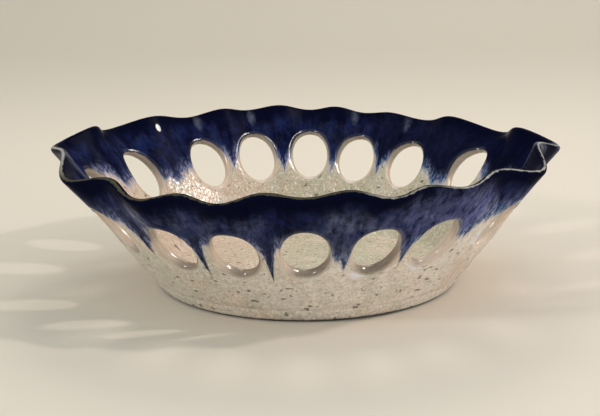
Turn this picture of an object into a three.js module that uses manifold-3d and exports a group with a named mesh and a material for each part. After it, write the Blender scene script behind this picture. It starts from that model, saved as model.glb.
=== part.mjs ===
// A hand-made reticulated bowl: a round floor slab and a flared wall set on it.
// The wall is pierced by one row of oval openings, and its rim is fluted,
// outward above every opening and inward above every rib between two openings.
// Millimetres, +Z up. The origin is the centre of the underside, on the table.
// Angles run from the front (-Y), counter-clockwise seen from above.

import * as THREE from "three";
import { mergeVertices } from "three/addons/utils/BufferGeometryUtils.js";
import Module from "manifold-3d";

// Bowl
const RIM_RADIUS = 126; // outside of the lip, midway between the swells and hollows of the flutes
const RIM_HEIGHT = 67.2; // outer edge of the lip above the table, before the flutes lift or lower it
const BASE_RADIUS = 76; // outside of the bowl where it meets the table
const WALL_BELLY = 1.2; // swell of the wall beyond a straight cone, half way up

// Clay
const FLOOR_THICKNESS = 7;
const FLOOR_EDGE_ROUND = 1.2; // softened lower edge of the slab
const FOOT_THICKNESS = 7; // wall, where it stands on the slab
const LIP_THICKNESS = 3.2;
const CORNER_SMEAR = 5; // reach of the wall's clay, smoothed over the floor in the inside corner
const SMEAR_EDGE = 0.8; // thickness at which that clay ends

// Flutes
const FLUTE_LIFT = 0.58; // a hollow stands above a swell by this share of the flute's depth
const FLUTE_REACH = 43; // the flutes die out this far below the lip

// Openings
const OPENING_WIDTH = 22.4;
const OPENING_LENGTH = 31.5; // along the slope of the wall
const RIM_BAND = 17.3; // uncut wall between the openings and the lip, along the slope
const ROW_TILT = 1.3; // the hand-marked row is this much low at the front and high at the back

// Each opening: its angle in degrees, the outward swell of the rim above it, the inward hollow
// of the rim over the rib that follows, the rise of the warped rim there, and the height
// at which the opening was cut above the marked row, along the slope
const OPENINGS = [
  [0, 1, 1.5, 1, 0],
  [17, 3.4, 0.6, 1.8, 0],
  [33, 2.4, 3, 1.8, 0],
  [57, 2.6, 6.9, 1.2, 0],
  [90, 3.3, 5, 1, 0],
  [122, 4.3, 6.9, -2.8, 3.5],
  [146, 1.7, 2.2, -3.1, 0],
  [163.5, 2.4, 3, -0.6, 0],
  [179, 2.5, 3, 1, 1.3],
  [196.5, 2.8, 2.5, 2.1, 0],
  [213.7, 2.8, 3.4, 0.7, 0],
  [240.5, 4.4, 4.2, 1.8, 1],
  [267, 4.8, 2.7, 3.6, 0],
  [303, 3.8, 2.7, 0.3, 0],
  [326, 3.2, 1.5, -1.5, 0],
  [343, 2, 2.3, -1.5, 0],
];

// Facets
const FLUTE_STEPS = 8; // around, from one opening to the next
const WALL_STEPS = 7; // up each face of the wall
const LIP_STEPS = 3;
const CORNER_STEPS = 2;
const FLOOR_SEGMENTS = 96;
const EDGE_STEPS = 3;
const OVAL_POINTS = 11; // on each half of an opening

const cobaltGlaze = new THREE.MeshStandardMaterial({ color: 0x1d2450, roughness: 0.18, metalness: 0 });
const creamGlaze = new THREE.MeshStandardMaterial({ color: 0xcfc2ab, roughness: 0.25, metalness: 0 });

const FULL_TURN = 2 * Math.PI;
const wasm = await Module();
wasm.setup();

// Outside of the bowl, as radius and height, from the table (0) to the lip (1)
const outside = new THREE.QuadraticBezierCurve(
  new THREE.Vector2(BASE_RADIUS, 0),
  new THREE.Vector2((BASE_RADIUS + RIM_RADIUS) / 2 + 2 * WALL_BELLY, RIM_HEIGHT / 2),
  new THREE.Vector2(RIM_RADIUS, RIM_HEIGHT),
);
const seam = FLOOR_THICKNESS / RIM_HEIGHT;

// The wall thins towards the lip, slowly at first
function wallThickness(share) {
  return FOOT_THICKNESS - (FOOT_THICKNESS - LIP_THICKNESS) * share * share;
}

// Square to the outside, away from the clay
function outward(share) {
  const slope = outside.getTangent(share);
  return new THREE.Vector2(slope.y, -slope.x);
}

function inside(share) {
  return outside.getPoint(share).addScaledVector(outward(share), -wallThickness(share));
}

const openings = OPENINGS.map(([degrees, swell, hollow, rise, lift]) => ({
  angle: THREE.MathUtils.degToRad(degrees),
  swell,
  hollow,
  rise,
  lift,
}));
const averageSpan = FULL_TURN / openings.length;

// The rim at some share of the way from one opening to the next
function rimAt(span, share) {
  const here = openings[span];
  const next = openings[(span + 1) % openings.length];
  const nearer = openings[(span + Math.round(share)) % openings.length];
  const width = THREE.MathUtils.euclideanModulo(next.angle - here.angle, FULL_TURN);
  const pressed = (1 - Math.cos(share * FULL_TURN)) / 2;
  return {
    angle: here.angle + share * width,
    flute: THREE.MathUtils.lerp(nearer.swell, -here.hollow, pressed),
    rise: THREE.MathUtils.lerp(here.rise, next.rise, THREE.MathUtils.smoothstep(share, 0, 1)),
  };
}

// Moves a point of the plain cone to its place on the fluted, slightly warped wall
function shapeWall({ angle, flute, rise }, radius, height) {
  const fluteStart = Math.max(FLOOR_THICKNESS, RIM_HEIGHT - FLUTE_REACH);
  const fluted = Math.max(0, (height - fluteStart) / (RIM_HEIGHT - fluteStart)) ** 2;
  const raised = Math.max(0, (height - FLOOR_THICKNESS) / (RIM_HEIGHT - FLOOR_THICKNESS));
  const r = radius + flute * fluted;
  const z = height - FLUTE_LIFT * flute * fluted + rise * raised;
  return new THREE.Vector3(r * Math.sin(angle), -r * Math.cos(angle), z);
}

function bare(geometry) {
  geometry.deleteAttribute("normal");
  geometry.deleteAttribute("uv");
  return mergeVertices(geometry);
}

// Turns a closed profile of radius and height about +Z, starting from the front
function turned(profile, segments) {
  return bare(new THREE.LatheGeometry(profile, segments).rotateX(Math.PI / 2));
}

function solid(geometry) {
  const vertProperties = new Float32Array(geometry.attributes.position.array);
  const triVerts = new Uint32Array(geometry.index.array);
  return new wasm.Manifold(new wasm.Mesh({ numProp: 3, vertProperties, triVerts }));
}

function geometryOf(made) {
  const { vertProperties, triVerts } = made.getMesh();
  const geometry = new THREE.BufferGeometry();
  geometry.setAttribute("position", new THREE.BufferAttribute(vertProperties, 3));
  geometry.setIndex(new THREE.BufferAttribute(triVerts, 1));
  geometry.computeVertexNormals();
  return geometry;
}

// Evenly spaced shares between two ends, both included
function shares(from, to, steps) {
  return Array.from({ length: steps + 1 }, (_, i) => from + ((to - from) * i) / steps);
}

// Cross-section of the wall: up the outside, over the lip, down the inside
// and out over the floor in the inside corner
function wallProfile() {
  const lipOutside = outside.getPoint(1);
  const lipInside = inside(1);
  const lipCentre = lipOutside.clone().add(lipInside).divideScalar(2);
  const acrossLip = outward(1).multiplyScalar(LIP_THICKNESS / 2);
  const alongWall = outside.getTangent(1).multiplyScalar(LIP_THICKNESS / 2);
  const lip = shares(0, Math.PI, LIP_STEPS).map((turn) =>
    lipCentre
      .clone()
      .addScaledVector(acrossLip, Math.cos(turn))
      .addScaledVector(alongWall, Math.sin(turn)),
  );

  const foot = inside(seam);
  const slope = outside.getTangent(seam);
  const cornerTop = (FLOOR_THICKNESS + CORNER_SMEAR * slope.y) / RIM_HEIGHT;
  const floorLevel = FLOOR_THICKNESS + SMEAR_EDGE;
  const wallAtFloor = foot.x - ((foot.y - floorLevel) * slope.x) / slope.y;
  const corner = new THREE.QuadraticBezierCurve(
    inside(cornerTop),
    new THREE.Vector2(wallAtFloor, floorLevel),
    new THREE.Vector2(wallAtFloor - CORNER_SMEAR, floorLevel),
  );

  return [
    ...shares(seam, 1, WALL_STEPS).map((share) => outside.getPoint(share)),
    ...lip.slice(1, -1),
    ...shares(1, cornerTop, WALL_STEPS).map(inside),
    ...corner.getPoints(CORNER_STEPS).slice(1),
    new THREE.Vector2(wallAtFloor - CORNER_SMEAR, FLOOR_THICKNESS),
    outside.getPoint(seam),
  ];
}

// The plain wall is turned with every span alike, then each span is given its true width and its flute
function flutedWall() {
  const wall = turned(wallProfile(), openings.length * FLUTE_STEPS);
  const place = wall.attributes.position;
  const point = new THREE.Vector3();
  for (let i = 0; i < place.count; i++) {
    point.fromBufferAttribute(place, i);
    const turn = THREE.MathUtils.euclideanModulo(Math.atan2(point.x, -point.y), FULL_TURN);
    const step = Math.round((turn / averageSpan) * FLUTE_STEPS) % (openings.length * FLUTE_STEPS);
    const span = Math.floor(step / FLUTE_STEPS);
    const share = (step % FLUTE_STEPS) / FLUTE_STEPS;
    const shaped = shapeWall(rimAt(span, share), Math.hypot(point.x, point.y), point.z);
    place.setXYZ(i, shaped.x, shaped.y, shaped.z);
  }
  return wall;
}

// An oval prism that passes square through the wall at one opening
function ovalCutter({ angle, lift }, i) {
  const slopeLength = Math.hypot(RIM_RADIUS - BASE_RADIUS, RIM_HEIGHT);
  const share = 1 - (RIM_BAND + OPENING_LENGTH / 2 - lift) / slopeLength;
  const middle = outside.getPoint(share);
  const centre = shapeWall(rimAt(i, 0), middle.x, middle.y - ROW_TILT * Math.cos(angle));
  const slope = outside.getTangent(share);
  const away = new THREE.Vector3(Math.sin(angle), -Math.cos(angle), 0);
  const around = new THREE.Vector3(Math.cos(angle), Math.sin(angle), 0);
  const up = away.clone().multiplyScalar(slope.x).setZ(slope.y);
  const through = away.clone().multiplyScalar(slope.y).setZ(-slope.x);

  const reach = 2 * FOOT_THICKNESS;
  const oval = new THREE.Shape();
  oval.absellipse(0, 0, OPENING_WIDTH / 2, OPENING_LENGTH / 2, 0, FULL_TURN);
  const cutter = new THREE.ExtrudeGeometry(oval, {
    depth: 2 * reach,
    bevelEnabled: false,
    curveSegments: OVAL_POINTS,
  });
  cutter.translate(0, 0, -reach);
  cutter.applyMatrix4(new THREE.Matrix4().makeBasis(around, up, through).setPosition(centre));
  return solid(bare(cutter));
}

function piercedWall() {
  let wall = solid(flutedWall());
  for (const cutter of openings.map(ovalCutter)) {
    wall = wall.subtract(cutter);
  }
  return new THREE.Mesh(geometryOf(wall), cobaltGlaze);
}

// The slab carries the outside of the wall down to the table
function floorSlab() {
  const edgeTop = FLOOR_EDGE_ROUND / RIM_HEIGHT;
  const edge = new THREE.QuadraticBezierCurve(
    new THREE.Vector2(BASE_RADIUS - FLOOR_EDGE_ROUND, 0),
    new THREE.Vector2(BASE_RADIUS, 0),
    outside.getPoint(edgeTop),
  );
  const profile = [
    new THREE.Vector2(0, 0),
    ...edge.getPoints(EDGE_STEPS),
    outside.getPoint(seam),
    new THREE.Vector2(0, FLOOR_THICKNESS),
  ];
  return new THREE.Mesh(turned(profile, FLOOR_SEGMENTS), creamGlaze);
}

const bowl = new THREE.Group();
for (const [name, mesh] of Object.entries({ floor_slab: floorSlab(), pierced_wall: piercedWall() })) {
  mesh.name = name;
  bowl.add(mesh);
}

export default bowl;
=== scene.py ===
# %% [markdown]
# # A pierced bowl in cobalt and cream
#
# This bowl is hand-built stoneware: a flat round slab, a flared wall luted onto it,
# a row of oval openings cut through the wall while the clay was leather-hard, and a rim
# pressed into soft flutes. It was dipped in a pale cream glaze, and its upper half in a
# deep cobalt that ran down the ribs between the openings in the fire.
#
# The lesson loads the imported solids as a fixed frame. They could be rendered as they are, but
# their facets would show in every highlight. So the wall and the slab are built again on the same
# sizes as fine smooth meshes, and then glazed and lit.

# %% Frame
import math

import bpy
import numpy as np
from mathutils import Matrix, Vector, noise


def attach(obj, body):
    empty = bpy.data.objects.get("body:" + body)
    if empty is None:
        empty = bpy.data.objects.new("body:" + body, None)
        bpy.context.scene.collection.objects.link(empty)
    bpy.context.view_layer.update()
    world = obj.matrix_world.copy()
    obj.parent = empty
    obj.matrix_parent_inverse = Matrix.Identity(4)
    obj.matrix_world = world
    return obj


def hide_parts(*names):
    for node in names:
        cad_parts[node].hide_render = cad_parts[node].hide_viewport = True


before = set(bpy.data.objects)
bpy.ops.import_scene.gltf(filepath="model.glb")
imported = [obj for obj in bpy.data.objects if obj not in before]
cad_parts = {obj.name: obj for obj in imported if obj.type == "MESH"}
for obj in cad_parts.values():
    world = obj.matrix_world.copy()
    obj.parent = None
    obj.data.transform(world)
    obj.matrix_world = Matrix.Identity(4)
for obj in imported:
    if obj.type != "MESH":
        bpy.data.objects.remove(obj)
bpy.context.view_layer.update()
MM = 0.001

# %% [markdown]
# ## The camera
#
# The bowl is seen from roughly arm's length, looking down on its rim from about 13 degrees. The
# near rim looks lower and wider than the far one, and that fixes both the height and the
# distance. A camera could also be aimed with a Track To constraint, but written turns keep the
# small pan and roll that the rim, the foot and the openings ask for.

# %% Camera
IMAGE_WIDTH = 600
FOCAL_PIXELS = 1184
SENSOR_WIDTH = 36
CAMERA_DISTANCE = 600  # mm, from the bowl's axis
CAMERA_HEIGHT = 176.3  # mm, above the table
CAMERA_ROUND = 0.4  # degrees round the bowl from its front
CAMERA_PAN = 0.315  # degrees to the left of the bowl's axis
CAMERA_DOWN = 13.1
CAMERA_ROLL = -0.79


def turned(degrees, axis):
    return Matrix.Rotation(math.radians(degrees), 4, axis)


camera_data = bpy.data.cameras.new("camera")
camera_data.sensor_width = SENSOR_WIDTH
camera_data.lens = SENSOR_WIDTH * FOCAL_PIXELS / IMAGE_WIDTH
camera = bpy.data.objects.new("camera", camera_data)
bpy.context.collection.objects.link(camera)
camera.location = turned(CAMERA_ROUND, "Z") @ Vector((0, -CAMERA_DISTANCE * MM, CAMERA_HEIGHT * MM))
aim = turned(CAMERA_ROUND + CAMERA_PAN, "Z") @ turned(90 - CAMERA_DOWN, "X") @ turned(CAMERA_ROLL, "Z")
camera.rotation_euler = aim.to_euler()
bpy.context.scene.camera = camera
print("camera lens", round(camera_data.lens, 1), "mm")

# %% [markdown]
# ## The sizes of the bowl
#
# These are the sizes of the clay in millimetres, as in the solid model, with angles that run from
# the front towards the right. Every opening was cut by eye, so each has its own row: its angle,
# the swell of the rim above it, the hollow of the rim over the rib that follows, the rise of the
# warped rim there, and its own height above the row. All this could be measured off the loaded
# solids, but written sizes can be read and changed.

# %% Sizes
RIM_RADIUS = 126
RIM_HEIGHT = 67.2
BASE_RADIUS = 76
WALL_BELLY = 1.2
FLOOR_THICKNESS = 7
FLOOR_EDGE_ROUND = 1.2
FOOT_THICKNESS = 7
LIP_THICKNESS = 3.2
CORNER_SMEAR = 5
FLUTE_LIFT = 0.58
FLUTE_REACH = 43
OPENING_WIDTH = 22.4
OPENING_LENGTH = 31.5
RIM_BAND = 17.3
ROW_TILT = 1.3
OPENINGS = np.array([
    (0, 1, 1.5, 1, 0), (17, 3.4, 0.6, 1.8, 0), (33, 2.4, 3, 1.8, 0), (57, 2.6, 6.9, 1.2, 0),
    (90, 3.3, 5, 1, 0), (122, 4.3, 6.9, -2.8, 3.5), (146, 1.7, 2.2, -3.1, 0), (163.5, 2.4, 3, -0.6, 0),
    (179, 2.5, 3, 1, 1.3), (196.5, 2.8, 2.5, 2.1, 0), (213.7, 2.8, 3.4, 0.7, 0), (240.5, 4.4, 4.2, 1.8, 1),
    (267, 4.8, 2.7, 3.6, 0), (303, 3.8, 2.7, 0.3, 0), (326, 3.2, 1.5, -1.5, 0), (343, 2, 2.3, -1.5, 0),
])
OPENING_ANGLES = np.radians(OPENINGS[:, 0])
SWELLS, HOLLOWS, RISES, LIFTS = OPENINGS[:, 1:].T
COUNT = len(OPENING_ANGLES)
FULL_TURN = 2 * math.pi
spans = np.mod(np.roll(OPENING_ANGLES, -1) - OPENING_ANGLES, FULL_TURN)
slope_length = math.hypot(RIM_RADIUS - BASE_RADIUS, RIM_HEIGHT)
seam = FLOOR_THICKNESS / RIM_HEIGHT
print(COUNT, "openings, slope", round(slope_length, 1), "mm long")

# %% [markdown]
# ## The plain wall
#
# Before it was fluted the wall was a cone with a slight belly, thinner towards the lip. A Screw
# modifier would spin such a profile, but the openings need points at chosen places in it. So the
# wall is a formula: a share of 0 is the table and 1 the lip, and a depth of 0 is the outside
# and 1 the inside.

# %% Plain wall
bend = (BASE_RADIUS + RIM_RADIUS) / 2 + 2 * WALL_BELLY


def outside(share):
    radius = (1 - share) ** 2 * BASE_RADIUS + 2 * share * (1 - share) * bend + share**2 * RIM_RADIUS
    return radius, share * RIM_HEIGHT


def slope_at(share):
    run = 2 * (1 - share) * (bend - BASE_RADIUS) + 2 * share * (RIM_RADIUS - bend)
    length = np.hypot(run, RIM_HEIGHT)
    return run / length, RIM_HEIGHT / length


def thickness(share):
    return FOOT_THICKNESS - (FOOT_THICKNESS - LIP_THICKNESS) * share**2


def in_clay(share, depth):
    """Radius and height at a depth in the clay, square to the outside."""
    radius, height = outside(share)
    along_r, along_z = slope_at(share)
    sunk = depth * thickness(share)
    return radius - along_z * sunk, height + along_r * sunk


middle_share = 1 - (RIM_BAND + OPENING_LENGTH / 2) / slope_length
print("wall at the openings", round(float(thickness(middle_share)), 2), "mm thick")

# %% [markdown]
# ## The flutes
#
# The flutes were pressed into the rim after the wall was pierced: the rim swells above every
# opening and is drawn in above every rib, and the whole rim warped a little as it dried. A Lattice
# could bend a finished cone like this, but every flute has its own swell and hollow. A formula
# that moves any point of the cone serves the wall, its cuts and its lip alike.

# %% Flutes
HAIR = 1e-9  # puts an opening's own angle into the stretch that follows it


def rim_at(angle):
    """How far the rim is pressed out, and how far it rises, at an angle."""
    turn = np.mod(angle, FULL_TURN)
    i = np.clip(np.searchsorted(OPENING_ANGLES, turn + HAIR, side="right") - 1, 0, COUNT - 1)
    following = (i + 1) % COUNT
    share = (turn - OPENING_ANGLES[i]) / spans[i]
    swell = np.where(share < 0.5, SWELLS[i], SWELLS[following])
    pressed = (1 - np.cos(share * FULL_TURN)) / 2
    smooth = share * share * (3 - 2 * share)
    flute = swell * (1 - pressed) - HOLLOWS[i] * pressed
    return flute, RISES[i] * (1 - smooth) + RISES[following] * smooth


def shape_wall(angle, radius, height):
    """Moves points of the plain cone to the fluted, slightly warped wall."""
    start = RIM_HEIGHT - FLUTE_REACH
    fluted = np.maximum(0, (height - start) / (RIM_HEIGHT - start)) ** 2
    raised = np.maximum(0, (height - FLOOR_THICKNESS) / (RIM_HEIGHT - FLOOR_THICKNESS))
    flute, rise = rim_at(angle)
    r = radius + flute * fluted
    z = height - FLUTE_LIFT * flute * fluted + rise * raised
    return np.stack([r * np.sin(angle), -r * np.cos(angle), z], -1)


def wall_points(angle, share, depth):
    radius, height = in_clay(share, depth)
    return shape_wall(angle, radius, height)


print("flutes from", round(float(-HOLLOWS.max()), 1), "to", round(float(SWELLS.max()), 1), "mm")

# %% [markdown]
# ## Where the cobalt ends
#
# The rim was dipped in the cobalt, which ran in the fire. Between two openings it gathers into
# a tongue, because the melted glaze keeps to the rib, and on a narrow rib it stops in a dark drip.
# Its edge could be painted on the mesh by hand, but a short list says the same and can be tuned.
# Each rib has its own run, outside and inside: the angle of its tip, how far the tip lies down
# the slope from the lip, how far the cobalt reaches beside the opening before and after it, and
# how much glaze hangs in its drip.

# %% Runs of the cobalt
FLOW_RADIUS = 108  # radius at which distances round the wall are measured
DRIP_WIDTH = 1.6
RUN_TAPER = 2.2  # a run narrows quickly and ends in a slender tail
RUN_POINTS = 9
opening_reach = math.asin(OPENING_WIDTH / 2 / FLOW_RADIUS)
OUTSIDE_RUNS = [
    (9.6, 46, 38, 37, 0.2), (24.3, 43.5, 36, 31, 0.6), (42, 35.5, 34, 25, 0), (72, 38, 26, 28, 0),
    (106, 42, 30, 32, 0), (134, 40, 30, 30, 0), (154.8, 45, 34, 34, 0.8), (171.3, 47, 34, 34, 0.6),
    (187.8, 46, 33, 34, 0.9), (205, 44, 33, 34, 0.5), (227, 41, 30, 30, 0), (254, 42, 31, 31, 0),
    (286, 39, 28, 24, 0), (316.8, 40.5, 24, 33, 0.8), (334, 47.5, 31, 29, 1), (351.5, 50, 30, 30, 1),
]
INSIDE_RUNS = [
    (8, 44, 33, 33, 0), (25, 44, 33, 33, 0), (45, 42, 30, 30, 0), (72, 40, 28, 28, 0),
    (106, 41, 30, 30, 0), (132, 45, 42, 35, 0), (155.3, 43.5, 33, 30, 0), (171.6, 45, 35, 35, 0),
    (188, 45.5, 34, 34, 0), (205.4, 40, 30, 30, 0), (229, 43.5, 36, 39, 0), (255, 38, 35, 25, 0),
    (285, 39, 28, 26, 0), (316, 42, 32, 32, 0), (334.5, 44, 33, 33, 0), (351.5, 44, 33, 33, 0),
]


def run_edge(angle, runs):
    """How far down the slope the cobalt reaches at an angle, pointed at every tip."""
    turns, downs = [], []
    for (tip_angle, tip, before, after, _), opening, span in zip(runs, OPENING_ANGLES, spans):
        point = math.radians(tip_angle)
        for start, level in ((opening + opening_reach, before), (opening + span - opening_reach, after)):
            for share in np.linspace(0, 1, RUN_POINTS):
                turns.append(start + (point - start) * share)
                downs.append(level + (tip - level) * share**RUN_TAPER)
    return np.interp(angle, turns, downs, period=FULL_TURN)


def drip_at(angle, runs):
    """The glaze hanging on the middle line of a drip, fading to its sides."""
    drip = np.zeros(np.shape(angle))
    for tip_angle, *_, hanging in runs:
        away = np.mod(angle - math.radians(tip_angle) + math.pi, FULL_TURN) - math.pi
        drip = np.maximum(drip, hanging * np.exp(-((away * FLOW_RADIUS / DRIP_WIDTH) ** 2)))
    return drip


print("longest run outside", max(run[1] for run in OUTSIDE_RUNS), "mm below the lip")

# %% [markdown]
# ## Patches of the wall
#
# The wall is one skin with soft edges round every cut. Boolean modifiers could cut the openings,
# but they leave long thin faces there, and glossy glaze shows those as creases. So the wall is sewn
# from patches of quads that share their edges. Each point also keeps what the glaze needs: where
# it lies along the flow, how far inside the cobalt it is, how far from an opening's edge, whether
# it is on a drip, and how far round its cut it faces the lower right, where painted shade goes.

# %% Patches
LIP_ARC = LIP_THICKNESS * math.pi / 4  # from the crest of the lip to either face
LAYERS = {"flow": 3, "run": 1, "edge": 1, "drip": 1, "painted_shade_side": 1}


def new_patchwork():
    return {"points": [], "faces": [], "total": 0, **{name: [] for name in LAYERS}}


def add_patch(work, points, layers, closed):
    rows, columns = points.shape[:2]
    index = work["total"] + np.arange(rows * columns).reshape(rows, columns)
    if closed:
        index = np.concatenate([index, index[:, :1]], 1)
    quads = np.stack([index[:-1, :-1], index[:-1, 1:], index[1:, 1:], index[1:, :-1]], -1)
    work["points"].append(points.reshape(-1, 3))
    work["faces"].append(quads.reshape(-1, 4))
    work["total"] += rows * columns
    for name, width in LAYERS.items():
        work[name].append(np.asarray(layers[name], float).reshape(-1, width))


def glaze_places(angle, share, depth, edge, painted_shade_side=0):
    """What the glaze needs to know at points of the wall."""
    down = (1 - share) * slope_length
    along = (down + LIP_ARC) * (1 - 2 * depth)
    outer = run_edge(angle, OUTSIDE_RUNS) - down
    inner = run_edge(angle, INSIDE_RUNS) - down
    drip = drip_at(angle, OUTSIDE_RUNS) * (1 - depth) + drip_at(angle, INSIDE_RUNS) * depth
    return {
        "flow": np.stack([FLOW_RADIUS * np.sin(angle), -FLOW_RADIUS * np.cos(angle), along], -1),
        "run": outer * (1 - depth) + inner * depth,
        "edge": edge,
        "drip": drip,
        "painted_shade_side": np.broadcast_to(painted_shade_side, drip.shape),
    }


wall = new_patchwork()
print("each point keeps", list(LAYERS))

# %% [markdown]
# ## The cell round each opening
#
# An opening is an oval cut through the wall, in a row that was marked by hand and is lowest at the
# front. To mesh it, the wall is divided into cells, one to each opening, that meet in the middle of
# the ribs. A grid with a hole could be filled by the Grid Fill tool, but a border with a known
# number of points lets the loops of the next step run straight from the border to the cut.

# %% Cells
COLUMNS = 32  # across each opening, from rib to rib
ROWS = 22
CELL_MARGIN = 8  # wall kept above and below an opening in its own patch
cell_low = middle_share - (OPENING_LENGTH / 2 + CELL_MARGIN) / slope_length
cell_high = middle_share + (OPENING_LENGTH / 2 + CELL_MARGIN) / slope_length


def cell_columns(i):
    centre = OPENING_ANGLES[i]
    left = centre - spans[i - 1] / 2
    right = centre + spans[i] / 2
    half = COLUMNS // 2
    return np.concatenate([np.linspace(left, centre, half + 1)[:-1], np.linspace(centre, right, half + 1)])


def cell_border(i):
    """Angles and shares once round the cell of an opening, from its lower left corner."""
    columns = cell_columns(i)
    rows = np.linspace(cell_low, cell_high, ROWS + 1)
    angle = np.concatenate(
        [columns[:-1], np.full(ROWS, columns[-1]), columns[:0:-1], np.full(ROWS, columns[0])]
    )
    share = np.concatenate(
        [np.full(COLUMNS, cell_low), rows[:-1], np.full(COLUMNS, cell_high), rows[:0:-1]]
    )
    return angle, share


def row_lift(i):
    """The hand-marked row is low at the front, and some openings were cut above it."""
    return LIFTS[i] - ROW_TILT * math.cos(OPENING_ANGLES[i]) * slope_at(middle_share)[1]


print("a cell is", round((cell_high - cell_low) * slope_length, 1), "mm high")

# %% [markdown]
# ## The openings
#
# The edges of the openings were wiped with a wet finger and the glaze rounded them further, so
# the cut has no sharp line anywhere, and the foot of each opening is pressed wider than its top.
# A Bevel modifier would round every edge alike. Here the mesh runs in closed loops, across the
# outside, over the rounded edge, through the cut and out across the inside, and the rounding of
# every loop can change on its way round.

# %% Edges of the openings
RINGS = 12
EDGE_STEPS = 5
EDGE_ROUNDS = (1.2, 1.8)  # depth of the softened cut edges at the top, outside and inside
EDGE_SPREADS = (1.6, 2.2)  # and how far the softening reaches across the face
LOWER_ROUND = 1.2  # further depth at the foot of an opening, where the finger pressed
LOWER_SPREAD = 3
GLAZE_LAP = 0.7  # the glaze narrows a cut by this much on every side


def oval_loop(i, turn, grow, depth_mm, from_inside):
    """One loop of the cut, grown by some millimetres, at a depth below the outside or the inside."""
    share = middle_share + (row_lift(i) + (OPENING_LENGTH / 2 + grow) * np.sin(turn)) / slope_length
    depth = depth_mm / thickness(share)
    if from_inside:
        depth = 1 - depth
    radius, height = in_clay(share, depth)
    angle = OPENING_ANGLES[i] + np.arcsin((OPENING_WIDTH / 2 + grow) * np.cos(turn) / radius)
    return angle, share, depth


def face_loops(i, turn, border, from_inside, upper_round, upper_spread):
    """Loops from the border of the cell over the rounded edge, as angle, share, depth and edge distance."""
    lower = (1 - np.sin(turn)) / 2
    rounding = upper_round + LOWER_ROUND * lower
    spread = upper_spread + LOWER_SPREAD * lower
    near_cut = oval_loop(i, turn, spread - GLAZE_LAP, 0, from_inside)
    loops = []
    for part in np.linspace(0, 1, RINGS):
        angle, share = (far + (near - far) * part for far, near in zip(border, near_cut))
        gap = np.hypot((angle - near_cut[0]) * FLOW_RADIUS, (share - near_cut[1]) * slope_length)
        loops.append((angle, share, np.full_like(angle, float(from_inside)), gap + spread))
    for bow in np.linspace(0, math.pi / 2, EDGE_STEPS + 1)[1:]:
        grow = spread * (1 - math.sin(bow))
        sunk = rounding * (1 - math.cos(bow))
        loops.append((*oval_loop(i, turn, grow - GLAZE_LAP, sunk, from_inside), grow - sunk))
    return loops


print("an opening is", round(OPENING_WIDTH - 2 * GLAZE_LAP, 1), "mm wide between its glazed edges")

# %% Loops through the wall
ACROSS_CUT = (0.25, 0.5, 0.75)
DEEP_IN_CUT = 1  # mm taken off the edge distance between the two rounded edges
PAINTED_SHADE_SIDE = -math.pi / 4  # the lower right of each cut, where the front cuts get painted shade


def opening_loops(i):
    border = cell_border(i)
    turn = np.arctan2(
        ((border[1] - middle_share) * slope_length - row_lift(i)) / OPENING_LENGTH,
        (border[0] - OPENING_ANGLES[i]) * FLOW_RADIUS / OPENING_WIDTH,
    )
    outer, inner = (
        face_loops(i, turn, border, *face) for face in zip((False, True), EDGE_ROUNDS, EDGE_SPREADS)
    )
    across = []
    for part in ACROSS_CUT:
        angle, share, depth, gap = (a + (b - a) * part for a, b in zip(outer[-1], inner[-1]))
        across.append((angle, share, depth, gap - DEEP_IN_CUT))
    whole = outer + across + inner[::-1]
    # painted shade: 1 where the cut faces the lower right, 0 at its upper left
    painted_shade_side = np.broadcast_to((1 + np.cos(turn - PAINTED_SHADE_SIDE)) / 2, (len(whole), len(turn)))
    return [*(np.array(rows) for rows in zip(*whole)), painted_shade_side]


for i in range(COUNT):
    angle, share, depth, gap, painted_shade_side = opening_loops(i)
    add_patch(wall, wall_points(angle, share, depth), glaze_places(angle, share, depth, gap, painted_shade_side), True)
print("loops round one opening", len(angle), "points in each", angle.shape[1])

# %% [markdown]
# ## Profiles of the lip and the corner
#
# The lip is a plain half-round, left by a wet sponge. Inside at the foot, clay was smoothed over
# the floor with a thumb, so the corner is a soft hollow. Outside, the luted joint left a shallow
# groove. Each could be a Bezier curve object, but these three are an arc, a parabola and a bell
# curve, and a formula follows the slope of the wall when a size changes.

# %% Lip, corner and groove
LIP_ROWS = 10
CORNER_ROWS = 8
GROOVE_DEPTH = 0.4
GROOVE_WIDTH = 0.9
CORNER_SINK = 0.3  # the smoothed clay runs out just below the face of the slab


def groove_at(height):
    return GROOVE_DEPTH * np.exp(-(((height - FLOOR_THICKNESS) / GROOVE_WIDTH) ** 2))


def lip_profile():
    outer_r, outer_z = in_clay(1, 0)
    inner_r, inner_z = in_clay(1, 1)
    along_r, along_z = slope_at(1)
    turn = np.linspace(0, math.pi, LIP_ROWS + 1)
    half = LIP_THICKNESS / 2
    r = (outer_r + inner_r) / 2 + half * (along_z * np.cos(turn) + along_r * np.sin(turn))
    z = (outer_z + inner_z) / 2 + half * (-along_r * np.cos(turn) + along_z * np.sin(turn))
    return r[1:-1], z[1:-1], turn[1:-1] / math.pi


def corner_profile():
    """Down the inside corner to the floor: the share where it starts, then radius and height."""
    along_r, along_z = slope_at(seam)
    foot_r, foot_z = in_clay(seam, 1)
    top = (FLOOR_THICKNESS + CORNER_SMEAR * along_z) / RIM_HEIGHT
    start_r, start_z = in_clay(top, 1)
    at_floor = foot_r - (foot_z - FLOOR_THICKNESS) * along_r / along_z
    t = np.linspace(0, 1, CORNER_ROWS + 1)
    r = (1 - t) ** 2 * start_r + 2 * t * (1 - t) * at_floor + t**2 * (at_floor - CORNER_SMEAR)
    z = (1 - t) ** 2 * start_z + (1 - (1 - t) ** 2) * FLOOR_THICKNESS - CORNER_SINK * t**3
    return top, r, z


lip_r, lip_z, lip_depth = lip_profile()
corner_top, corner_r, corner_z = corner_profile()
print("corner ends", round(float(corner_r[-1]), 1), "mm from the axis")

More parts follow.
